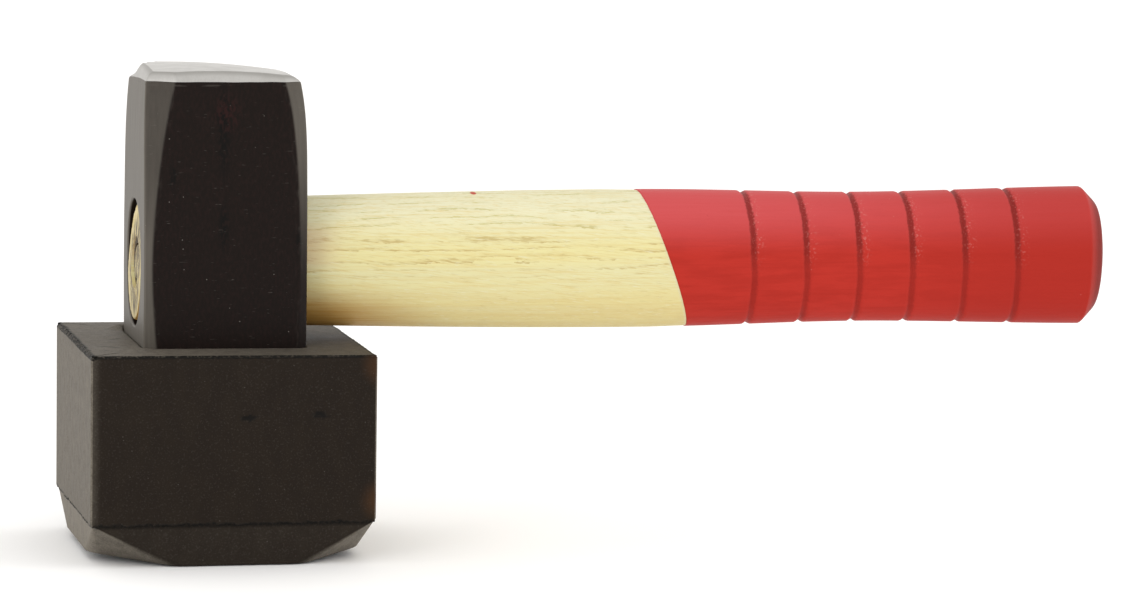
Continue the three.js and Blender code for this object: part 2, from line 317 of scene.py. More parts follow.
def cut(piece, cutter):
    """Takes the cutter's space out of a piece."""
    step = piece.modifiers.new("cut", "BOOLEAN")
    step.object = cutter
    step.solver = "EXACT"
    graph = bpy.context.evaluated_depsgraph_get()
    mesh = bpy.data.meshes.new_from_object(piece.evaluated_get(graph))
    piece.modifiers.clear()
    piece.data = mesh
    bpy.data.objects.remove(cutter)


def even_normals(piece):
    """Large flat faces keep their own shading beside narrow rounded edges."""
    piece.modifiers.new("even_normals", "WEIGHTED_NORMAL").keep_sharp = True


def points_of(piece):
    flat = np.zeros(len(piece.data.vertices) * 3)
    piece.data.vertices.foreach_get("co", flat)
    return flat.reshape(-1, 3) / MM


def paint(piece, name, values):
    """A number for each point, which the piece's material reads by this name."""
    layer = piece.data.attributes.new(name, "FLOAT", "POINT")
    layer.data.foreach_set("value", np.asarray(values, np.float32))


def dress(piece, body, node):
    even_normals(piece)
    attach(piece, body)
    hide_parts(node)


# Procedural materials

class Look:
    """A material whose patterns lie in millimetres of the part's own frame."""

    def __init__(self, name, specular=0.5):
        self.material = bpy.data.materials.new(name)
        self.material.use_nodes = True
        self.tree = self.material.node_tree
        self.shader = self.tree.nodes["Principled BSDF"]
        self.shader.inputs["Specular IOR Level"].default_value = specular
        place = self.node("ShaderNodeTexCoord", {}).outputs["Object"]
        self.place = self.vector("MULTIPLY", place, (1 / MM,) * 3)
        self.axes = self.node("ShaderNodeSeparateXYZ", {0: self.place}).outputs
        self.normal = None

    def node(self, kind, inputs, **settings):
        made = self.tree.nodes.new(kind)
        for name, value in settings.items():
            setattr(made, name, value)
        for name, value in inputs.items():
            self.put(made.inputs[name], value)
        return made

    def put(self, socket, value):
        if isinstance(value, bpy.types.NodeSocket):
            self.tree.links.new(value, socket)
        else:
            socket.default_value = value

    def surface(self, **inputs):
        names = {"colour": "Base Color", "roughness": "Roughness", "metal": "Metallic"}
        for name, value in inputs.items():
            self.put(self.shader.inputs[names[name]], value)

    def vector(self, operation, a, b):
        return self.node("ShaderNodeVectorMath", {0: a, 1: b}, operation=operation).outputs[0]

    def math(self, operation, a, b=0.0, clamp=False):
        return self.node("ShaderNodeMath", {0: a, 1: b}, operation=operation, use_clamp=clamp).outputs[0]

    def add(self, *values):
        total = values[0]
        for value in values[1:]:
            total = self.math("ADD", total, value)
        return total

    def times(self, *values):
        total = values[0]
        for value in values[1:]:
            total = self.math("MULTIPLY", total, value)
        return total

    def less(self, a, b):
        return self.math("SUBTRACT", a, b)

    def most(self, a, b):
        return self.math("MAXIMUM", a, b)

    def step(self, value, low, high):
        """0 below low, 1 above high and smooth between them."""
        inputs = {"Value": value, "From Min": low, "From Max": high}
        if low > high:
            inputs = {"Value": value, "From Min": high, "From Max": low, "To Min": 1.0, "To Max": 0.0}
        return self.node("ShaderNodeMapRange", inputs, interpolation_type="SMOOTHSTEP").outputs[0]

    def scale(self, value, low, high):
        """A share from 0 to 1 spread from low to high."""
        return self.node("ShaderNodeMapRange", {"Value": value, "To Min": low, "To Max": high}).outputs[0]

    def turned(self, place, angle, axis=(0, 0, 1)):
        inputs = {"Vector": place, "Axis": axis, "Angle": angle}
        return self.node("ShaderNodeVectorRotate", inputs).outputs[0]

    def sized(self, size, turn=0.0, axis=(0, 0, 1)):
        """The place, with one unit for each of these lengths or one for all, turned about an axis first."""
        place = self.turned(self.place, turn, axis) if turn else self.place
        return self.vector("MULTIPLY", place, tuple(1 / length for length in np.broadcast_to(size, 3)))

    def noise(self, size, detail=2.0, turn=0.0, axis=(0, 0, 1)):
        inputs = {"Vector": self.sized(size, turn, axis), "Scale": 1.0, "Detail": detail}
        return self.node("ShaderNodeTexNoise", inputs).outputs[0]

    def patches(self, low, high, *pattern, **settings):
        """Noise that is 0 below low and 1 above high."""
        return self.step(self.noise(*pattern, **settings), low, high)

    def specks(self, size, radius, share):
        """Dots of this radius in some of the cells of this size."""
        cells = self.node("ShaderNodeTexVoronoi", {"Vector": self.sized(size), "Scale": 1.0})
        dot = self.step(cells.outputs["Distance"], radius / size, 0.5 * radius / size)
        pick = self.node("ShaderNodeSeparateColor", {0: cells.outputs["Color"]}).outputs[0]
        return self.times(dot, self.math("LESS_THAN", pick, share))

    def spot(self, centre, reach, turn=0.0, core=0.2):
        """1 in the middle of an ellipsoid and 0 outside it, with its long way turned about Z."""
        away = self.vector("SUBTRACT", self.place, centre)
        if turn:
            away = self.turned(away, -turn)
        share = self.vector("MULTIPLY", away, tuple(1 / length for length in reach))
        length = self.node("ShaderNodeVectorMath", {0: share}, operation="LENGTH").outputs["Value"]
        return self.step(length, 1.0, core)

    def mix(self, share, a, b):
        # sockets 6 and 7 are the node's two colours, and output 2 its mixed colour
        return self.node("ShaderNodeMix", {0: share, 6: a, 7: b}, data_type="RGBA").outputs[2]

    def layer(self, base, over, *shares):
        """The base with a colour over it, as strong as all the shares multiplied."""
        return self.mix(self.times(*shares), base, over)

    def painted(self, name):
        return self.node("ShaderNodeAttribute", {}, attribute_name=name).outputs["Fac"]

    def facing(self, axis):
        """How far the surface faces along an axis of the frame, from -1 to 1."""
        normal = self.node("ShaderNodeNewGeometry", {}).outputs["Normal"]
        return self.node("ShaderNodeSeparateXYZ", {0: normal}).outputs[axis]

    def bump(self, height, depth):
        """Adds relief of this depth where height goes from 0 to 1."""
        inputs = {"Height": height, "Distance": depth * MM, "Strength": 1.0}
        if self.normal:
            inputs["Normal"] = self.normal
        self.normal = self.node("ShaderNodeBump", inputs).outputs[0]
        self.put(self.shader.inputs["Normal"], self.normal)


def colour(red, green, blue):
    return (red, green, blue, 1.0)


LACQUER_BLACK = colour(0.0058, 0.0030, 0.0021)
LACQUER_BROWN = colour(0.0110, 0.0050, 0.0040)
LACQUER_WORN = colour(0.070, 0.062, 0.053)
# painted reflection: grey sheen on the lacquer's sides and facets
LACQUER_SHEEN = colour(0.105, 0.094, 0.079)
LACQUER_RUN = colour(0.0022, 0.0015, 0.0012)
LACQUER_RED = colour(0.022, 0.0055, 0.0050)
DUST = colour(0.20, 0.185, 0.165)
STEEL_BRIGHT = colour(0.545, 0.538, 0.522)
STEEL_DULL = colour(0.460, 0.452, 0.437)
# painted shade on the ground steel
STEEL_SHADE = colour(0.310, 0.302, 0.286)
WOOD_PALE = colour(0.640, 0.585, 0.290)
WOOD_CREAM = colour(0.620, 0.580, 0.320)
WOOD_WHITE = colour(0.650, 0.635, 0.460)
WOOD_TAN = colour(0.580, 0.455, 0.180)
WOOD_LINE = colour(0.38, 0.25, 0.07)
WOOD_OLIVE = colour(0.40, 0.36, 0.11)
WOOD_SHADE_BROWN = colour(0.36, 0.165, 0.018)
WOOD_PINK = colour(0.60, 0.42, 0.27)
END_PALE = colour(0.64, 0.55, 0.33)
END_DARK = colour(0.070, 0.050, 0.024)
PAINT_SPECK = colour(0.42, 0.05, 0.02)
COAT_RED = colour(0.405, 0.0240, 0.0155)
COAT_DEEP = colour(0.335, 0.0180, 0.0110)
COAT_HIGHLIGHT = colour(0.500, 0.070, 0.074)
COAT_DARK_RED = colour(0.150, 0.0090, 0.0060)
COAT_CHIP = colour(0.52, 0.16, 0.14)
RUBBER_BLACK = colour(0.0112, 0.0074, 0.0047)
RUBBER_BROWN = colour(0.0132, 0.0090, 0.0057)
RUBBER_CUT = colour(0.0045, 0.0038, 0.0030)
# painted sheen on the rubber
RUBBER_SHEEN = colour(0.175, 0.155, 0.126)
RUBBER_RUST = colour(0.055, 0.024, 0.008)
WEDGE_DARK = colour(0.060, 0.048, 0.032)
WEDGE_RUST = colour(0.150, 0.085, 0.040)


# Dark runs in the lacquer on the front: middle and reach
DARK_RUNS = [
    ((-1.0, -HEAD_HALF, 117.0), (2.6, 6.0, 17.0)),
    ((-0.8, -HEAD_HALF, 91.0), (2.0, 6.0, 9.0)),
    ((-14.9, -HEAD_HALF, 104.5), (1.3, 6.0, 5.0)),
    ((20.0, -HEAD_HALF, 86.5), (1.5, 6.0, 4.5)),
]
RED_TINGE = (0.0, -HEAD_HALF, 121.8)


def black_lacquer():
    look = Look("black_lacquer", specular=0.1)
    z = look.axes[2]
    streak = look.noise((0.9, 0.9, 16), detail=3)
    fine = look.noise((0.7, 0.7, 1.6), detail=4)
    tint = look.times(look.step(fine, 0.4, 0.7), look.scale(streak, 0.3, 1.0))
    base = look.mix(tint, LACQUER_BLACK, LACQUER_BROWN)
    for middle, reach in DARK_RUNS:
        run = look.times(look.spot(middle, reach), look.step(fine, 0.65, 0.45))
        base = look.layer(base, LACQUER_RUN, run)
    tinge = look.times(look.spot(RED_TINGE, (5.0, 6.0, 7.0)), look.step(fine, 0.4, 0.6))
    base = look.layer(base, LACQUER_RED, tinge, 0.6)
    # painted reflection: grey sheen where the lamps would light the lacquer's sides and facets
    base = look.layer(base, LACQUER_SHEEN, lacquer_side_sheen(look, streak))
    scratch = look.patches(0.70, 0.76, (2.4, 2.4, 0.25), detail=2)
    marks = look.most(look.times(look.specks(3.2, 0.2, 0.4), 0.6), look.times(scratch, 0.2))
    base = look.layer(base, DUST, marks)
    wear = look.times(look.painted("edge"), look.patches(0.5, 0.75, (1.2, 1.2, 4), detail=4))
    base = look.layer(base, LACQUER_WORN, wear, 0.35)
    below = look.less(CHAMFER_RISE, look.math("ABSOLUTE", look.less(z, EYE_Z)))
    strip = look.times(look.step(below, 0.35, 0.5), look.step(below, 1.0, 0.8))
    strip = look.times(strip, look.patches(0.5, 0.62, (6, 6, 2), detail=2))
    base = look.layer(base, LACQUER_WORN, strip, 0.3)
    look.surface(colour=base, roughness=look.scale(streak, 0.36, 0.52))
    look.bump(look.noise((3, 3, 7), detail=3), 0.03)
    look.bump(fine, 0.012)
    return look.material


def lacquer_side_sheen(look, streak):
    """Painted grey sheen on the facets and sides, standing in for the softboxes' reflection, fading out low
    on the handle's side.
    """
    x, z = look.facing("X"), look.axes[2]
    stronger_low = look.scale(look.step(z, EYE_Z + 30, EYE_Z), 1.0, 1.6)
    left = look.times(look.step(x, -0.1, -1.0), stronger_low)
    right = look.times(look.step(x, 0.1, 0.9), look.step(z, EYE_Z - 8, EYE_Z + 40), 1.4)
    return look.times(look.add(left, right), look.scale(streak, 0.8, 1.3))


def ground_steel():
    look = Look("ground_steel")
    upright = look.noise((0.3, 0.3, 8), detail=3)
    across = look.noise((9, 0.5, 9), detail=3, turn=0.5)
    cloud = look.noise(5, detail=2)
    up = look.facing("Z")
    flat = look.step(up, 0.75, 0.9)
    marks = look.add(look.times(upright, look.less(1.0, flat)), look.times(across, flat))
    tone = look.add(look.times(marks, 0.6), look.times(cloud, 0.4))
    base = look.mix(look.step(tone, 0.38, 0.62), STEEL_DULL, STEEL_BRIGHT)
    # painted shade: steeper parts of the ground ring are darker, and a band just under the face's rim darker
    # still, by which way the surface faces
    slope = look.times(look.step(up, 0.93, 0.8), look.scale(upright, 0.05, 0.6))
    base = look.layer(base, STEEL_SHADE, slope)
    rim_shade = look.times(look.step(up, 0.50, 0.82), look.step(up, 0.975, 0.93))
    base = look.layer(base, STEEL_SHADE, rim_shade, look.scale(upright, 0.5, 1.2))
    look.surface(colour=base, roughness=look.scale(marks, 0.55, 0.45), metal=1.0)
    look.bump(marks, 0.008)
    return look.material


RING_WIDTH = 2.6  # growth rings
RING_SLOPE = math.radians(62)  # how steeply the layers lie
RING_SWAY = 9.0
RING_JAG = 1.3
GRAIN_SLANT = math.radians(-7)  # the pores run a little down towards the butt
ACROSS = (0, 1, 0)
SPECK_PLACE = (72.4, -4.0, 98.2)  # a speck of the grip's colour on the bare wood
SHADE_END = 50.0  # painted shade beside the head, low on the handle


def growth_rings(look):
    """0 at the start of each year's layer and rising to 1 at its end."""
    high = look.less(look.axes[2], EYE_Z)
    sway = look.times(look.less(look.noise((48, 7, 7), detail=2), 0.5), RING_SWAY)
    jag = look.times(look.less(look.noise((2.4, 0.8, 0.8), 3, GRAIN_SLANT, ACROSS), 0.5), RING_JAG)
    layer = look.add(look.times(look.axes[1], math.cos(RING_SLOPE)), look.times(high, math.sin(RING_SLOPE)))
    return look.math("FRACT", look.math("DIVIDE", look.add(layer, sway, jag), RING_WIDTH))


def end_grain(look):
    """Sawn fibres on the tenon's end, crushed and dark round the wedge."""
    fibre = look.noise((2, 0.6, 2.4), detail=4)
    base = look.mix(look.step(fibre, 0.42, 0.6), WOOD_TAN, END_PALE)
    torn = look.patches(0.40, 0.54, (2, 1.1, 7.0), detail=4)
    crushed = look.spot((HANDLE_LOW[0], 0.0, EYE_Z - 1.0), (4.0, 12.0, 16.0), core=0.7)
    return look.layer(base, END_DARK, crushed, look.scale(torn, 0.15, 0.95))


def wood_ground(look, high, fibre):
    """The wood's colours, with painted light making it nearly white at the top and painted shade over tan
    streaks towards the bottom.
    """
    band = look.noise((120, 5, 5), detail=2)
    base = look.mix(look.step(band, 0.35, 0.65), WOOD_PALE, WOOD_CREAM)
    # painted light: whiter towards the top
    base = look.layer(base, WOOD_WHITE, look.step(high, 4.0, 16.0), 0.8)
    base = look.layer(base, WOOD_TAN, look.step(fibre, 0.45, 0.70), 0.40)
    hair = look.noise((9, 0.28, 0.28), 3, GRAIN_SLANT, ACROSS)
    base = look.layer(base, WOOD_TAN, look.step(hair, 0.52, 0.66), 0.45)
    # darker tan towards the bottom, partly the wood's own streaks and partly painted shade
    low = look.times(look.step(high, -3.0, -18.0), look.scale(look.noise((45, 2.2, 2.2), detail=3), 0.1, 1.1))
    return look.layer(base, WOOD_TAN, low)


def wood_lines(look, base, high):
    """Rows of short open pores along the start of each year's layer, in the upper part."""
    upper = look.step(high, -7.0, 1.0)
    broken = look.patches(0.40, 0.56, (16, 2.0, 2.0), detail=3)
    early = look.times(look.step(growth_rings(look), 0.45, 0.02), upper, broken)
    grain = look.noise((4.0, 0.30, 0.30), 3, GRAIN_SLANT, ACROSS)
    pores = look.step(look.add(grain, look.times(early, 0.17)), 0.59, 0.70)
    tone = look.mix(look.step(high, 5.0, 13.0), WOOD_LINE, WOOD_OLIVE)
    base = look.layer(base, tone, early, 0.20)
    base = look.layer(base, tone, pores, look.add(look.times(early, 0.36), 0.22))
    flecks = look.patches(0.40, 0.30, (3.0, 0.35, 0.35), 2, GRAIN_SLANT, ACROSS)
    return look.layer(base, WOOD_WHITE, flecks, 0.35), pores


def ash_wood():
    look = Look("ash_wood", specular=0.3)
    x = look.axes[0]
    high = look.less(look.axes[2], EYE_Z)
    fibre = look.noise((40, 0.6, 0.6), detail=4)
    base, pores = wood_lines(look, wood_ground(look, high, fibre), high)
    pink = look.times(look.step(x, 36.0, 23.0), look.step(high, -3.0, 2.0), look.step(high, 13.0, 8.0))
    base = look.layer(base, WOOD_PINK, pink, 0.5)
    # painted shade: brown darkening low on the wood beside the head, where the head and cap keep light off
    reach = look.step(look.add(x, look.times(high, 1.2)), SHADE_END, 6.0)
    head_shade = look.times(reach, look.step(high, -3.0, -14.0), look.scale(fibre, 0.45, 1.3))
    base = look.layer(base, WOOD_SHADE_BROWN, look.math("MINIMUM", head_shade, 0.85))
    edge = look.less(look.less(COAT_X, look.times(high, math.tan(COAT_TILT))), x)
    base = look.layer(base, WOOD_WHITE, look.step(edge, 0.9, 0.4), 0.3)
    base = look.layer(base, PAINT_SPECK, look.spot(SPECK_PLACE, (1.1, 4.0, 0.45), core=0.7))
    ends = look.times(look.step(look.facing("X"), -0.6, -0.9), look.step(x, -15.0, -17.0))
    base = look.mix(ends, base, end_grain(look))
    look.surface(colour=base, roughness=look.scale(fibre, 0.48, 0.64))
    look.bump(fibre, 0.04)
    look.bump(look.less(1.0, pores), 0.025)
    return look.material


def red_dip():
    look = Look("red_dip", specular=0.1)
    x = look.axes[0]
    high = look.less(look.axes[2], EYE_Z)
    streak = look.noise((22, 0.6, 0.6), detail=4)
    cloud = look.patches(0.4, 0.65, (14, 2.5, 2.5), detail=4)
    base = look.mix(look.times(cloud, 0.55), COAT_RED, COAT_DEEP)
    base = look.layer(base, COAT_DEEP, look.step(streak, 0.52, 0.66), 0.4)
    base = look.layer(base, COAT_DEEP, look.step(x, WAIST_X, GROOVES[0]), 0.8)
    # painted highlight: pink sheen along the top of the coat, fading towards the butt
    top_highlight = look.times(look.step(high, 1.0, 15.0), look.scale(look.step(x, COAT_X, BUTT_X), 1.0, 0.35))
    base = look.layer(base, COAT_HIGHLIGHT, top_highlight, look.scale(streak, 0.8, 1.1))
    base = groove_marks(look, base, look.step(high, -4.0, 6.0))
    # painted shade: the butt's chamfer darkens towards the dome, where it turns away
    rim = look.step(x, BUTT_X - BUTT_DOME - BUTT_CHAMFER, BUTT_X - BUTT_DOME - 1.0)
    base = look.layer(base, COAT_DARK_RED, rim, 0.8)
    look.surface(colour=base, roughness=look.scale(streak, 0.42, 0.60))
    look.bump(streak, 0.05)
    look.bump(look.noise((0.9, 0.5, 0.5), detail=3), 0.02)
    return look.material


def groove_marks(look, base, upper):
    """Dark beds of the grooves, and chipped paint along their shoulders in the upper part."""
    groove = look.painted("groove")
    ragged = look.less(groove, look.times(look.less(look.noise(0.8, detail=3), 0.5), 0.8))
    depth = look.add(look.times(upper, 0.4), 0.35)
    base = look.layer(base, COAT_DARK_RED, look.step(ragged, 0.1, 0.6), depth)
    flecks = look.patches(0.55, 0.66, (0.7, 0.6, 0.6), detail=3)
    chips = look.times(look.painted("chip"), flecks, upper, 0.5)
    base = look.layer(base, COAT_CHIP, look.specks(4.0, 0.3, 0.15), 0.3)
    return look.layer(base, COAT_CHIP, chips)


def dull_steel():
    look = Look("dull_steel", specular=0.15)
    rust = look.patches(0.45, 0.65, 1.2, detail=4)
    base = look.mix(rust, WEDGE_DARK, WEDGE_RUST)
    look.surface(colour=base, roughness=look.scale(rust, 0.7, 0.9), metal=look.scale(rust, 0.4, 0.0))
    look.bump(look.noise(0.7, detail=3), 0.05)
    return look.material


# Scratches on the cap's rim: middle, half length, half width and turn about Z
SCRATCHES = [
    ((-31.7, -18.2, CAP_TOP), 5.5, 1.0, math.radians(-34)),
    ((-33.3, -26.9, CAP_TOP), 2.8, 1.1, math.radians(-23)),
    ((-27.5, -0.6, CAP_TOP), 3.2, 1.1, math.radians(32)),
]
SHEEN_EDGE = 3.0  # width of the painted highlight along the front's left edge
RUST_SPOTS = [(CAP_HALF, -CAP_HALF, 54.5), (CAP_HALF, -CAP_HALF, 17.5)]


def rim_scratches(look):
    broken = look.patches(0.3, 0.5, 0.8, detail=3)
    total = 0.0
    for middle, length, width, turn in SCRATCHES:
        total = look.add(total, look.spot(middle, (length, width, 2.0), turn))
    return look.times(total, broken)


def black_rubber():
    look = Look("black_rubber", specular=0.1)
    smear = look.noise((4, 4, 9), detail=4)
    grain = look.noise(0.5, detail=3)
    base = look.mix(look.step(smear, 0.35, 0.7), RUBBER_BLACK, RUBBER_BROWN)
    # painted sheen: grey on the sides, top and base facets, standing in for reflected light
    base = look.layer(base, RUBBER_SHEEN, rubber_sheen(look, smear, grain))
    base = look.layer(base, RUBBER_CUT, look.math("MINIMUM", look.times(rim_scratches(look), 0.85), 1.0))
    base = look.layer(base, DUST, look.specks(2.2, 0.16, 0.3), 0.3)
    base = look.layer(base, DUST, look.step(grain, 0.54, 0.7), 0.05)
    trim_and_seam_shade = look.painted("trim_and_seam_shade")
    ragged = look.patches(0.35, 0.55, 0.7, detail=3)
    # darker along the trimmed rim, and painted shade in the crevice under the parting line
    base = look.layer(base, RUBBER_CUT, trim_and_seam_shade, look.scale(ragged, 0.35, 1.0))
    strokes = look.patches(0.25, 0.4, (2.5, 2, 0.35), detail=3)
    base = look.layer(base, RUBBER_CUT, look.painted("scuff"), strokes)
    for place in RUST_SPOTS:
        rust = look.times(look.spot(place, (5.5, 3.0, 7.0), core=0.1), look.scale(smear, 0.4, 1.0))
        base = look.layer(base, RUBBER_RUST, rust, 0.8)
    look.surface(colour=base, roughness=look.scale(smear, 0.50, 0.70))
    look.bump(look.noise((4, 4, 10), detail=3), 0.04)
    look.bump(grain, 0.05)
    look.bump(look.times(trim_and_seam_shade, look.noise(0.8, detail=3)), 0.3)
    return look.material


def rubber_sheen(look, smear, grain):
    """Painted grey sheen for reflected light: on the sides, thinner on the top, and faint on the base and
    along the front's left edge.
    """
    side = look.step(look.math("ABSOLUTE", look.facing("X")), 0.1, 0.6)
    leftward = look.scale(look.step(look.axes[0], -15.0, 25.0), 0.85, 0.6)
    top = look.times(look.step(look.facing("Z"), 0.5, 0.9), leftward)
    low = look.step(look.axes[2], PARTING_Z + 1, PARTING_Z - 1)
    edge_highlight = look.times(look.step(look.axes[0], SHEEN_EDGE - CAP_HALF, -CAP_HALF), 0.3)
    faint = look.most(look.times(low, 0.05), edge_highlight)
    share = look.most(look.times(side, look.scale(low, 1.0, 1.5)), top)
    share = look.most(share, faint)
    mottle = look.patches(0.3, 0.7, (2.6, 2.6, 3.4), detail=5)
    tone = look.add(look.scale(smear, 0.22, 0.50), look.scale(mottle, 0.18, 0.40))
    return look.times(share, look.add(tone, look.times(look.less(grain, 0.5), 0.9)))


# Head

HEAD_SIDES = [8, 40] * 4  # divisions of the narrow and the wide sides


def octagon(half_x_left, half_x_right, half_y, left, right):
    """Eight corners turning left. left and right hold the corner cuts across the cheek and along the side."""
    back = [
        (half_x_right, half_y - right[1]),
        (half_x_right - right[0], half_y),
        (left[0] - half_x_left, half_y),
        (-half_x_left, half_y - left[1]),
    ]
    front = [(x, -y) for x, y in reversed(back)]
    return np.array(back + front)


def head_half(share, draw_in):
    return HEAD_HALF - draw_in * share ** DRAW_IN_POWER


def head_corners(rise, grow=0.0):
    share = min(abs(rise) / CHAMFER_RISE, 1.0)
    left = lerp(FACET_AT_EYE, FACET_EYE_SIDE, share ** FACET_POWER)
    right = lerp(FACET_AT_EYE, FACET_HANDLE_SIDE, share ** FACET_POWER)
    return octagon(
        head_half(share, DRAW_IN_EYE_SIDE) + grow,
        head_half(share, DRAW_IN_HANDLE_SIDE) + grow,
        head_half(share, DRAW_IN_CHEEK) + grow,
        (left, left * FACET_LEAN),
        (right, right * FACET_LEAN),
    )


def face_corners():
    left = FACET_EYE_SIDE - RING_INSET
    return octagon(
        head_half(1, DRAW_IN_EYE_SIDE) - RING_INSET,
        head_half(1, DRAW_IN_HANDLE_SIDE) - RING_INSET_HANDLE_SIDE,
        head_half(1, DRAW_IN_CHEEK) - RING_INSET,
        (left, left * FACET_LEAN),
        (FACE_CORNER, FACE_CORNER),
    )


def head_ring(rise, grow=0.0):
    return at_height(rounded_ring(head_corners(rise, grow), EDGE_ROUND, HEAD_SIDES), EYE_Z + rise)


def beyond_corner(ring):
    """How far each point lies out on the ground-off corner."""
    return np.maximum((ring[:, :2] - CORNER_PLACE) @ CORNER_WAY, 0)


def crowned(ring, side):
    """The ring's points lifted onto the face's low dome. side is 1 at the top and -1 at the bottom."""
    away = ring[:, :2] - CROWN_PLACE
    drop = CROWN_DROP * (away ** 2).sum(1) / CROWN_REACH ** 2 + CROWN_TWIST * ring[:, 0] * ring[:, 1]
    drop = np.maximum(drop, 0) + CORNER_FALL * (1 - np.exp(-beyond_corner(ring) / CORNER_REACH))
    return at_height(ring, EYE_Z + side * (FACE_RISE - drop))


def face_rings(side):
    rim = rounded_ring(face_corners(), EDGE_ROUND, HEAD_SIDES)
    return [crowned(rim * share, side) for share in FACE_SHARES]


def ring_edge(side):
    """Lower edge of the ground ring, a little uneven."""
    edge = head_ring(side * CHAMFER_RISE)
    uneven = RING_WAVE * rough(edge, RING_WAVE_SIZE) - side * CORNER_RING_FALL * beyond_corner(edge)
    return at_height(edge, edge[:, 2] + uneven)


def ring_slope(edge, rim):
    """Rings that round the ground slope outwards, from its lower edge to the face's rim."""
    full = lerp(edge, rim, np.array([RING_FULL[0], RING_FULL[0], RING_FULL[1]]))
    return [bend(edge, full, rim, share) for share in SLOPE_SHARES]


def end_rings(edge, side):
    """Ground slope and face beyond a ring's edge, with the radius that rounds each of them."""
    face = face_rings(side)
    slope = ring_slope(edge, face[0])
    rounds = [0.0] * len(slope) + [FACE_ROUND] + [0.0] * (len(face) - 1)
    return [*slope, *face], rounds


def head_rings():
    """All rings of the head from the lower face up, and whether each is ground bare."""
    steps = round(2 * CHAMFER_RISE / HEAD_STEP)
    body = [head_ring(rise) for rise in np.linspace(-CHAMFER_RISE, CHAMFER_RISE, steps + 1)[1:-1]]
    low_edge, high_edge = ring_edge(-1), ring_edge(1)
    low, low_rounds = end_rings(low_edge, -1)
    high, high_rounds = end_rings(high_edge, 1)
    rings = [*reversed(low), low_edge, *body, high_edge, *high]
    rounds = [*reversed(low_rounds), RING_ROUND, *[0.0] * len(body), RING_ROUND, *high_rounds]
    bare = [True] * len(low) + [False] * (len(body) + 2) + [True] * len(high)
    copies = [ROUND_STEPS + 1 if radius else 1 for radius in rounds]
    return rounded_profile(rings, rounds), np.repeat(bare, copies)


def eye_size(x):
    return lerp(EYE_MOUTH_SIZE, EYE_SIZE, (x + HEAD_HALF) / (2 * HEAD_HALF))


def oval(x, size, inset=0.0, twist=0.0):
    angle = np.linspace(0, 2 * math.pi, OVAL_POINTS, endpoint=False)
    power = 2 / OVAL_POWER
    y = (size[1] / 2 - inset) * np.sign(np.cos(angle)) * np.abs(np.cos(angle)) ** power
    z = (size[0] / 2 - inset) * np.sign(np.sin(angle)) * np.abs(np.sin(angle)) ** power
    turned_y = y * math.cos(twist) - z * math.sin(twist)
    turned_z = y * math.sin(twist) + z * math.cos(twist)
    return np.column_stack([np.full(OVAL_POINTS, x), turned_y, EYE_Z + turned_z])


def lip_grow(inside):
    """How far the eye widens at this depth below the cheek, as a quarter round."""
    if inside <= 0:
        return EYE_LIP - inside
    if inside >= EYE_LIP:
        return 0.0
    return EYE_LIP - math.sqrt(EYE_LIP ** 2 - (EYE_LIP - inside) ** 2)


def eye_cutter():
    places = [(-HEAD_HALF + depth, lip_grow(depth)) for depth in EYE_DEPTHS]
    places += [(-x, grow) for x, grow in reversed(places)]
    return mesh_object("eye_cutter", *skin([oval(x, eye_size(x), -grow) for x, grow in places]))


EDGE_WEAR = 0.6  # width of the worn line on the facets' edges


def edge_share(points):
    """1 on the edges of the facets and 0 away from them."""
    made = np.zeros(len(points))
    for i, point in enumerate(points):
        corners = head_corners(point[2] - EYE_Z)
        nearest = np.min(np.linalg.norm(corners - point[:2], axis=1))
        made[i] = math.exp(-((nearest / EDGE_WEAR) ** 2))
    return made


def forged(points):
    """The points with the slight hollows of forged sides."""
    wave = np.abs(rough(points, FORGE_WAVE_SIZE)) * FORGE_WAVE
    wave[np.abs(points[:, 2] - EYE_Z) > CHAMFER_RISE - FORGE_EDGE] = 0
    across = points[:, :2]
    outward = across / np.maximum(np.linalg.norm(across, axis=1, keepdims=True), 1e-6)
    return np.column_stack([across - outward * wave[:, None], points[:, 2]])


def hammer_head():
    rings, bare = head_rings()
    points, faces = skin(rings)
    piece = mesh_object("head_forging", forged(points), faces)
    piece.data.materials.append(black_lacquer())
    piece.data.materials.append(ground_steel())
    ground = np.ones(len(faces), int)
    strips = np.repeat(bare[:-1] | bare[1:], len(rings[0]))
    ground[:len(strips)] = strips
    piece.data.polygons.foreach_set("material_index", ground)
    cut(piece, eye_cutter())
    paint(piece, "edge", edge_share(points_of(piece)))
    dress(piece, "hammer", "hammer_head")


# Handle, coat and wedge

def handle_size(x):
    """Height and width of the bare wood, before grooves."""
    tenon = eye_size(min(x, HEAD_HALF)) - 2 * TENON_FREE
    if x <= HEAD_HALF:
        return tenon
    if x <= BELLY_X:
        swell = (x - HEAD_HALF) / (BELLY_X - HEAD_HALF)
        return lerp(tenon, BELLY_SIZE, math.sin(swell * math.pi / 2))
    if x <= WAIST_X:
        return lerp(BELLY_SIZE, WAIST_SIZE, smoothstep(x, BELLY_X, WAIST_X))
    return lerp(WAIST_SIZE, BUTT_SIZE, smoothstep(x, WAIST_X, BUTT_X))


def past_groove(ring):
    """How far each point lies past its nearest groove, towards the butt."""
    wander = rough(ring * np.array([0.2, 1, 1]), GROOVE_WANDER_SIZE) * GROOVE_WANDER
    along = ring[:, 0] + GROOVE_LEAN * (ring[:, 2] - EYE_Z) - wander
    past = along[:, None] - np.array(GROOVES)
    return np.take_along_axis(past, np.abs(past).argmin(1)[:, None], axis=1)[:, 0]


def groove_share(ring):
    """1 in a groove's bed and 0 on the grip beside it, for each point."""
    return np.maximum(0.0, 1 - np.abs(past_groove(ring)) / (GROOVE_WIDTH / 2))


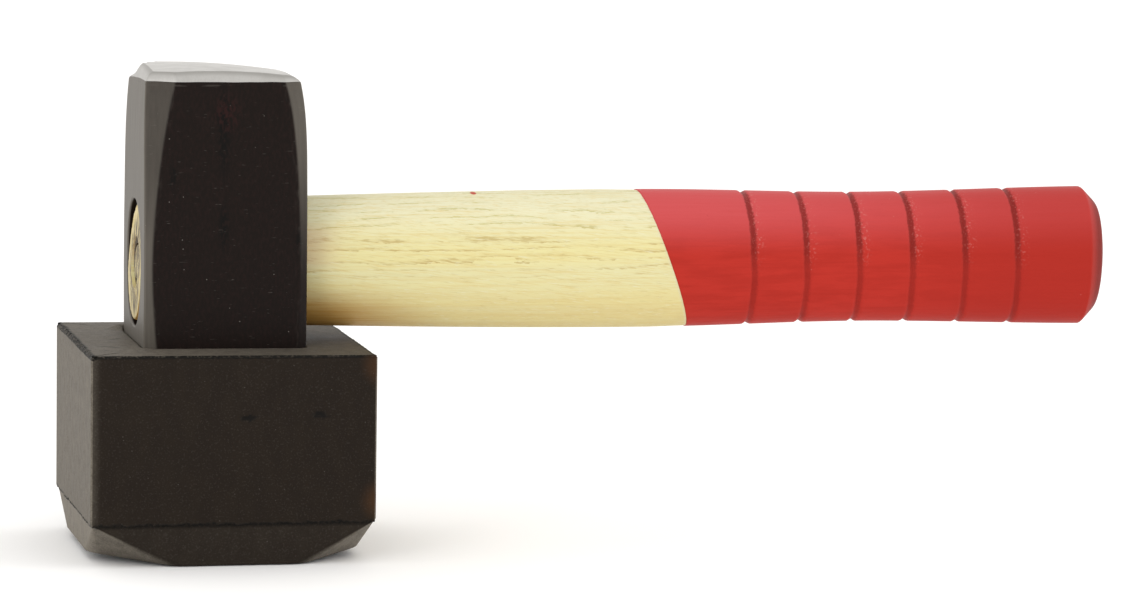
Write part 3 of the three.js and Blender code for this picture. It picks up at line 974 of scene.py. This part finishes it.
def chip_share(ring):
    """1 on the shoulder behind a groove, where the coat chips."""
    return np.exp(-(((past_groove(ring) - CHIP_PLACE) / CHIP_REACH) ** 2))


def coat_edge(z):
    """Where the dipped coat begins, at a height."""
    return COAT_X - (z - EYE_Z) * math.tan(COAT_TILT)


def twist_at(x):
    return TENON_TWIST * max(0.0, HEAD_HALF - x) / (2 * HEAD_HALF)


def slim_at(x):
    return TENON_SLIM * smoothstep(x, HANDLE_LOW[0] + TENON_SLIM_LENGTH, HANDLE_LOW[0])


def wood_ring(x):
    ring = oval(x, handle_size(x) - 2 * slim_at(x), 0.0, twist_at(x))
    start = coat_edge(ring[:, 2])
    under = smoothstep(x, start - COAT_FEED, start)
    deep = smoothstep(x, start, start + COAT_SINK)
    bed = COAT_THICKNESS - COAT_PROUD + COAT_UNDERCUT
    return drawn_in(ring, under * COAT_PROUD + deep * bed + WOOD_GROOVE_DEPTH * groove_share(ring))


def drawn_in(ring, distance):
    """The ring's points moved towards the handle's axis."""
    axis = np.column_stack([ring[:, 0], np.zeros(len(ring)), np.full(len(ring), EYE_Z)])
    outward = ring - axis
    length = np.linalg.norm(outward, axis=1, keepdims=True)
    return axis + outward * (1 - np.reshape(distance, (-1, 1)) / length)


def circle(x, radius):
    angle = np.linspace(0, 2 * math.pi, OVAL_POINTS, endpoint=False)
    return np.column_stack([np.full(OVAL_POINTS, x), radius * np.cos(angle), EYE_Z + radius * np.sin(angle)])


def sawn(ring, depth):
    """The ring laid on the tenon's slanted, fibrous end, in by a depth."""
    laid = ring.copy()
    above = np.maximum(ring[:, 2] - EYE_Z - END_LEVEL, 0)
    laid[:, 0] = HEAD_LOW[0] + END_RECESS + depth + END_SLANT * above
    laid[:, 0] += END_ROUGH * np.abs(rough(ring, END_ROUGH_SIZE))
    return laid


def butt_rings(end, inset):
    """Chamfer and low dome that close the handle, smaller all round by inset."""
    rim_x = end - BUTT_DOME
    shoulder_x = rim_x - BUTT_CHAMFER
    shoulder = oval(shoulder_x, handle_size(shoulder_x), inset)
    rim = oval(rim_x, handle_size(rim_x), inset + BUTT_CHAMFER)
    centre = np.array([rim_x, 0, EYE_Z])
    dome = []
    for share in DOME_SHARES:
        ring = centre + (rim - centre) * share
        ring[:, 0] = lerp(end, rim_x, share ** 2)
        dome.append(ring)
    return [shoulder, rim, *dome]


def stations(start, end, step):
    return np.linspace(start, end, round((end - start) / step) + 1)


def tenon_end():
    """Rings from the plug inside the wedge, round its slot and out to the tenon's edge."""
    start = HANDLE_LOW[0]
    slot = WEDGE_RADIUS + WEDGE_FREE
    plug = WEDGE_RADIUS - WEDGE_WALL - WEDGE_FREE
    tip_x = WEDGE_HIGH[0] + WEDGE_FREE
    edge = sawn(oval(start, handle_size(start) - 2 * slim_at(start), TENON_EDGE, TENON_TWIST), 0)
    mouth = sawn(circle(start, slot), 0)
    rows = [mouth, *between(mouth, edge, END_ROWS)]
    return [
        *[sawn(circle(start, plug * share), PLUG_SINK) for share in PLUG_SHARES],
        circle(start + 2 * PLUG_SINK, plug),
        circle(tip_x, plug),
        circle(tip_x, slot - WEDGE_TAPER),
        *[sawn(ring, 0) for ring in rows],
        edge,
    ]


def handle():
    start = HANDLE_LOW[0] + 2 * TENON_EDGE
    shoulder = BUTT_X - COAT_THICKNESS - BUTT_DOME - BUTT_CHAMFER - BUTT_CLEAR
    inset = COAT_THICKNESS + COAT_UNDERCUT
    body = [wood_ring(x) for x in stations(start, shoulder, HANDLE_STEP)]
    points, faces = skin([*tenon_end(), *body, *butt_rings(BUTT_X - inset, inset)])
    piece = mesh_object("ash_handle", points, faces)
    piece.data.materials.append(ash_wood())
    dress(piece, "hammer", "handle")


def coat_ring(x, inset):
    """A ring of the coat. x may differ from point to point near the slanted edge."""
    rows = [oval(place, handle_size(place), inset)[i] for i, place in enumerate(x)]
    return np.array(rows)


def coat_start():
    """Where the coat's edge lies at each point round the handle."""
    x = np.full(OVAL_POINTS, COAT_X)
    for _ in range(4):
        x = coat_edge(coat_ring(x, 0.0)[:, 2])
    return x


def grooved(ring):
    """A ring of the coat's outside with the turned grooves, and how deep each point lies in them."""
    share = groove_share(ring)
    uneven = 1 + GROOVE_UNEVEN * rough(ring, GROOVE_UNEVEN_SIZE, seed=7.0)
    return drawn_in(ring, share * GROOVE_DEPTH * uneven), share


def grip_coating():
    start = coat_start()
    straight = start.max() + SLANT_LENGTH
    shoulder = BUTT_X - BUTT_DOME - BUTT_CHAMFER
    slant = [lerp(start, straight, share) for share in np.linspace(0, 1, SLANT_STEPS + 1)]
    level = [np.full(OVAL_POINTS, x) for x in stations(straight, shoulder, COAT_STEP)[1:-1]]
    outer, grooves = zip(*[grooved(coat_ring(x, 0.0)) for x in slant + level])
    butt = butt_rings(BUTT_X, 0.0)
    rounds = [0.0] * len(outer) + [BUTT_ROUND] * 2 + [0.0] * (len(butt) - 2)
    shell = rounded_profile([*outer, *butt], rounds)
    lip = coat_ring(start - COAT_LIP, COAT_THICKNESS / 2)
    inner = [drawn_in(ring, COAT_THICKNESS) for ring in outer]
    inner_butt = butt_rings(BUTT_X - COAT_THICKNESS, COAT_THICKNESS)
    points, faces = skin([*reversed(inner_butt), *reversed(inner), lip, *shell])
    piece = mesh_object("dip_coat", points, faces)
    piece.data.materials.append(red_dip())
    before = (len(inner_butt) + len(inner) + 1) * OVAL_POINTS
    outside = slice(before, before + len(outer) * OVAL_POINTS)
    for name, values in (("groove", grooves), ("chip", [chip_share(ring) for ring in outer])):
        share = np.zeros(len(points))
        share[outside] = np.concatenate(values)
        paint(piece, name, share)
    dress(piece, "hammer", "grip_coating")


def ring_wedge():
    near, far = WEDGE_LOW[0], WEDGE_HIGH[0]
    tip = WEDGE_RADIUS - WEDGE_TAPER
    inner_near = circle(near, WEDGE_RADIUS - WEDGE_WALL)
    outer_near = circle(near, WEDGE_RADIUS)
    corners = [circle(far, tip - WEDGE_TIP), inner_near, outer_near, circle(far, tip)]
    points, faces = skin(rounded_profile(corners, [0, WEDGE_ROUND, WEDGE_ROUND, 0]))
    ends = 2 * OVAL_POINTS
    last = len(points) - 2 - OVAL_POINTS
    faces = faces[:-ends]
    for i in range(OVAL_POINTS):
        j = (i + 1) % OVAL_POINTS
        faces.append((last + i, last + j, j, i))
    piece = mesh_object("wedge_ring", points[:-2], faces)
    piece.data.materials.append(dull_steel())
    dress(piece, "hammer", "ring_wedge")


# Rubber cap

CAP_SIDES = [3, 130] * 4


def cap_ring(half, z):
    corner = (CAP_CORNER, CAP_CORNER)
    return at_height(rounded_ring(octagon(half, half, half, corner, corner), CAP_CORNER / 2, CAP_SIDES), z)


def sole_ring(share=1.0):
    outer = CAP_HALF - PARTING_STEP
    left = outer - BASE_DRAFT_LEFT
    right = outer - BASE_DRAFT
    side = right - SOLE_SIDE_EDGE / 2
    corners = octagon(left, right, right, (left + SOLE_STRIP[0], side), (right - SOLE_STRIP[1], side))
    ring = rounded_ring(corners, SOLE_CORNER, CAP_SIDES) * share
    climb_left = (SOLE_STRIP[0] - ring[:, 0]) / (SOLE_STRIP[0] + left)
    climb_right = (ring[:, 0] - SOLE_STRIP[1]) / (right - SOLE_STRIP[1])
    climb = np.clip(np.maximum(climb_left, climb_right), 0, 1)
    return at_height(ring, CAP_LOW[2] + SOLE_RISE * climb)


def flash(ring, seed):
    """How far the tatters of a cut or squeezed edge stand out, from 0 to 1."""
    fine = rough(ring, RAGGED_SIZE, seed)
    coarse = rough(ring, RAGGED_PATCH, seed + 3)
    return np.clip(0.45 + 0.7 * fine + 0.5 * coarse, 0, 1)


def pushed_out(ring, distance):
    """Level ring moved outwards along its nearest side."""
    moved = ring.copy()
    on_x = np.abs(ring[:, 0]) > np.abs(ring[:, 1])
    moved[on_x, 0] += np.sign(ring[on_x, 0]) * distance[on_x]
    moved[~on_x, 1] += np.sign(ring[~on_x, 1]) * distance[~on_x]
    return moved


def rim_height(ring):
    """The rim's height at each point, with its lean and the curl beside the head."""
    away = np.linalg.norm(ring[:, :2] - CURL_PLACE, axis=1)
    curl = CURL_RISE * np.exp(-((away / CURL_REACH) ** 2))
    return CAP_TOP - RIM_DROP + ring[:, :2] @ RIM_LEAN + curl


def base_rings():
    sole = sole_ring()
    under = cap_ring(CAP_HALF - PARTING_STEP, PARTING_Z - SEAM_FOOT)
    inner = [sole_ring(share) for share in SOLE_SHARES]
    walls = between(sole, under, BASE_STEPS)
    rounds = [0] * len(inner) + [SOLE_ROUND] + [0] * (len(walls) + 1)
    return rounded_profile([*inner, sole, *walls, under], rounds)


def seam_rings():
    """Torn flash on the mould's parting line."""
    seam = cap_ring(CAP_HALF, PARTING_Z)
    tatters = flash(seam, 1.0) * (FLASH_REACH + SEAM_PIT) - SEAM_PIT
    ragged = SEAM_WAVE * (rough(seam, SEAM_WAVE_SIZE, seed=2.0) + rough(seam, RAGGED_SIZE, seed=6.0))
    low, middle, high = (at_height(seam, PARTING_Z + rise + ragged) for rise in SEAM_RISES)
    return [pushed_out(low, tatters), pushed_out(middle, tatters * 0.8), high]


def trim_width(ring):
    left = smoothstep(-ring[:, 0], CAP_HALF - 2, CAP_HALF - 0.5)
    return lerp(TRIM, TRIM_LEFT, left)


def side_rings():
    foot = cap_ring(CAP_HALF, PARTING_Z + SIDE_FOOT)
    head = at_height(foot, rim_height(foot) - trim_width(foot) - SIDE_HEAD)
    return [lerp(foot, head, share) for share in stations(0, 1, CAP_STEP / (CAP_TOP - PARTING_Z))]


def trim_rings():
    """Ragged slope round the rim, where the flash was cut off with a knife."""
    outer = cap_ring(CAP_HALF, CAP_TOP)
    width = trim_width(outer)
    low = at_height(outer, rim_height(outer) - width + (flash(outer, 5.0) - 0.5) * 0.6 * width)
    high = pushed_out(outer, -width + (flash(outer, 8.0) - 0.5) * 0.8 * width)
    high = at_height(high, rim_height(high))
    return [low, lerp(low, high, 0.35), lerp(low, high, 0.7), high]


def socket_ring(rise):
    return at_height(rounded_ring(head_corners(rise, CAP_FREE), EDGE_ROUND, CAP_SIDES), EYE_Z + rise)


def socket_rings(rim):
    """Rings from the trimmed rim over the top and down to the socket's floor."""
    mouth_rise = CAP_TOP - EYE_Z
    mouth = socket_ring(mouth_rise)
    mouth[:, 2] = rim_height(mouth)
    tops = [at_height(ring, rim_height(ring)) for ring in between(rim, mouth, RIM_STEPS)]
    rises = np.linspace(mouth_rise - SOCKET_MOUTH, -CHAMFER_RISE, SOCKET_STEPS)
    walls = [socket_ring(rise) for rise in rises]
    lip = rounded_profile([tops[-1], mouth, walls[0]], [0, CAP_LIP, 0])[1:-1]
    floor = at_height(walls[-1], SOCKET_FLOOR)
    floors = [floor, *[at_height(floor * share, SOCKET_FLOOR) for share in SOCKET_SHARES]]
    return [*tops, *lip, *walls, *floors]


def scuff_share(points):
    """1 in the worn places on the cap's front and 0 elsewhere."""
    front = points[:, 1] < -CAP_HALF + 0.05
    share = np.zeros(len(points))
    for place in SCUFFS:
        away = (((points[:, [0, 2]] - place) / SCUFF_REACH) ** 2).sum(1)
        near = front & (away < 2)
        ragged = rough(points[near], RAGGED_SIZE, seed=4.0)
        share[near] = np.clip(2.5 * (0.9 - away[near] + 1.2 * ragged), 0, 1)
    return share


def rubber_cap():
    base = base_rings()
    seam = seam_rings()
    sides = side_rings()
    trims = trim_rings()
    rings = [*base, *seam, *sides, *trims, *socket_rings(trims[-1])]
    points, faces = skin(rings)
    scuff = scuff_share(points)
    points[:, 1] += SCUFF_DEPTH * scuff
    piece = mesh_object("cap_moulding", points, faces)
    piece.data.materials.append(black_rubber())
    # marks the trimmed rim and, as painted shade, the crevice under the seam
    trim_and_seam_shade = np.zeros((len(rings), len(rings[0])))
    trim_and_seam_shade[len(base) - 1:len(base) + len(seam) - 1] = 1.0
    first = len(base) + len(seam) + len(sides)
    trim_and_seam_shade[first:first + len(trims)] = 1.0
    paint(piece, "trim_and_seam_shade", np.append(trim_and_seam_shade.ravel(), [0.0, 0.0]))
    paint(piece, "scuff", scuff)
    dress(piece, "cap", "rubber_cap")


# Stage, lights and camera

FLOOR_SIZE = 14.0
FLOOR_DROP = 0.0002
FLOOR_WHITE = colour(0.97, 0.97, 0.97)
SKY_STRENGTH = 1.2
SKY_COLOUR = colour(1.0, 0.985, 0.965)
LIT_PLACE = (0.05, 0.0, 0.08)
# Softboxes in metres and watts: name, place, width, height and power
SOFTBOXES = [
    ("left_softbox", (-0.95, -1.15, 0.4), 0.5, 0.7, 5.0),
    ("right_softbox", (1.35, -0.52, 0.35), 0.5, 0.8, 2.5),
]


def floor():
    half = FLOOR_SIZE / 2
    corners = [(-half, -half), (half, -half), (half, half), (-half, half)]
    mesh = bpy.data.meshes.new("floor")
    mesh.from_pydata([(x, y, -FLOOR_DROP) for x, y in corners], [], [(0, 1, 2, 3)])
    ground = bpy.data.objects.new("floor", mesh)
    bpy.context.scene.collection.objects.link(ground)
    look = Look("pale_floor", specular=0.1)
    look.surface(colour=FLOOR_WHITE, roughness=0.9)
    mesh.materials.append(look.material)


def softbox(name, place, width, height, watts):
    light = bpy.data.lights.new(name, "AREA")
    light.shape = "RECTANGLE"
    light.size = width
    light.size_y = height
    light.energy = watts
    lamp = bpy.data.objects.new(name, light)
    lamp.location = place
    lamp.rotation_mode = "QUATERNION"
    lamp.rotation_quaternion = (Vector(LIT_PLACE) - Vector(place)).to_track_quat("-Z", "Y")
    lamp.visible_camera = False
    bpy.context.scene.collection.objects.link(lamp)


def lights():
    world = bpy.data.worlds.new("studio")
    world.use_nodes = True
    sky = world.node_tree.nodes["Background"].inputs
    sky["Color"].default_value = SKY_COLOUR
    sky["Strength"].default_value = SKY_STRENGTH
    bpy.context.scene.world = world
    for box in SOFTBOXES:
        softbox(*box)


def camera():
    back = np.array([
        math.sin(CAMERA_YAW) * math.cos(CAMERA_PITCH),
        -math.cos(CAMERA_YAW) * math.cos(CAMERA_PITCH),
        math.sin(CAMERA_PITCH),
    ])
    level_right = np.cross((0, 0, 1), back)
    level_right /= np.linalg.norm(level_right)
    level_up = np.cross(back, level_right)
    right = math.cos(CAMERA_ROLL) * level_right + math.sin(CAMERA_ROLL) * level_up
    up = math.cos(CAMERA_ROLL) * level_up - math.sin(CAMERA_ROLL) * level_right
    eye = (CAMERA_TARGET + CAMERA_DISTANCE * back) * MM
    data = bpy.data.cameras.new("camera")
    data.sensor_width = SENSOR
    data.lens = SENSOR * FOCAL_PIXELS / FRAME_WIDTH
    data.clip_start, data.clip_end = CAMERA_CLIP
    made = bpy.data.objects.new("camera", data)
    turn = Matrix(np.column_stack([right, up, back]).tolist())
    made.matrix_world = Matrix.Translation(Vector(eye)) @ turn.to_4x4()
    bpy.context.scene.collection.objects.link(made)
    bpy.context.scene.camera = made


hammer_head()
handle()
grip_coating()
ring_wedge()
rubber_cap()
floor()
lights()
camera()
bpy.context.scene.view_settings.view_transform = "Standard"
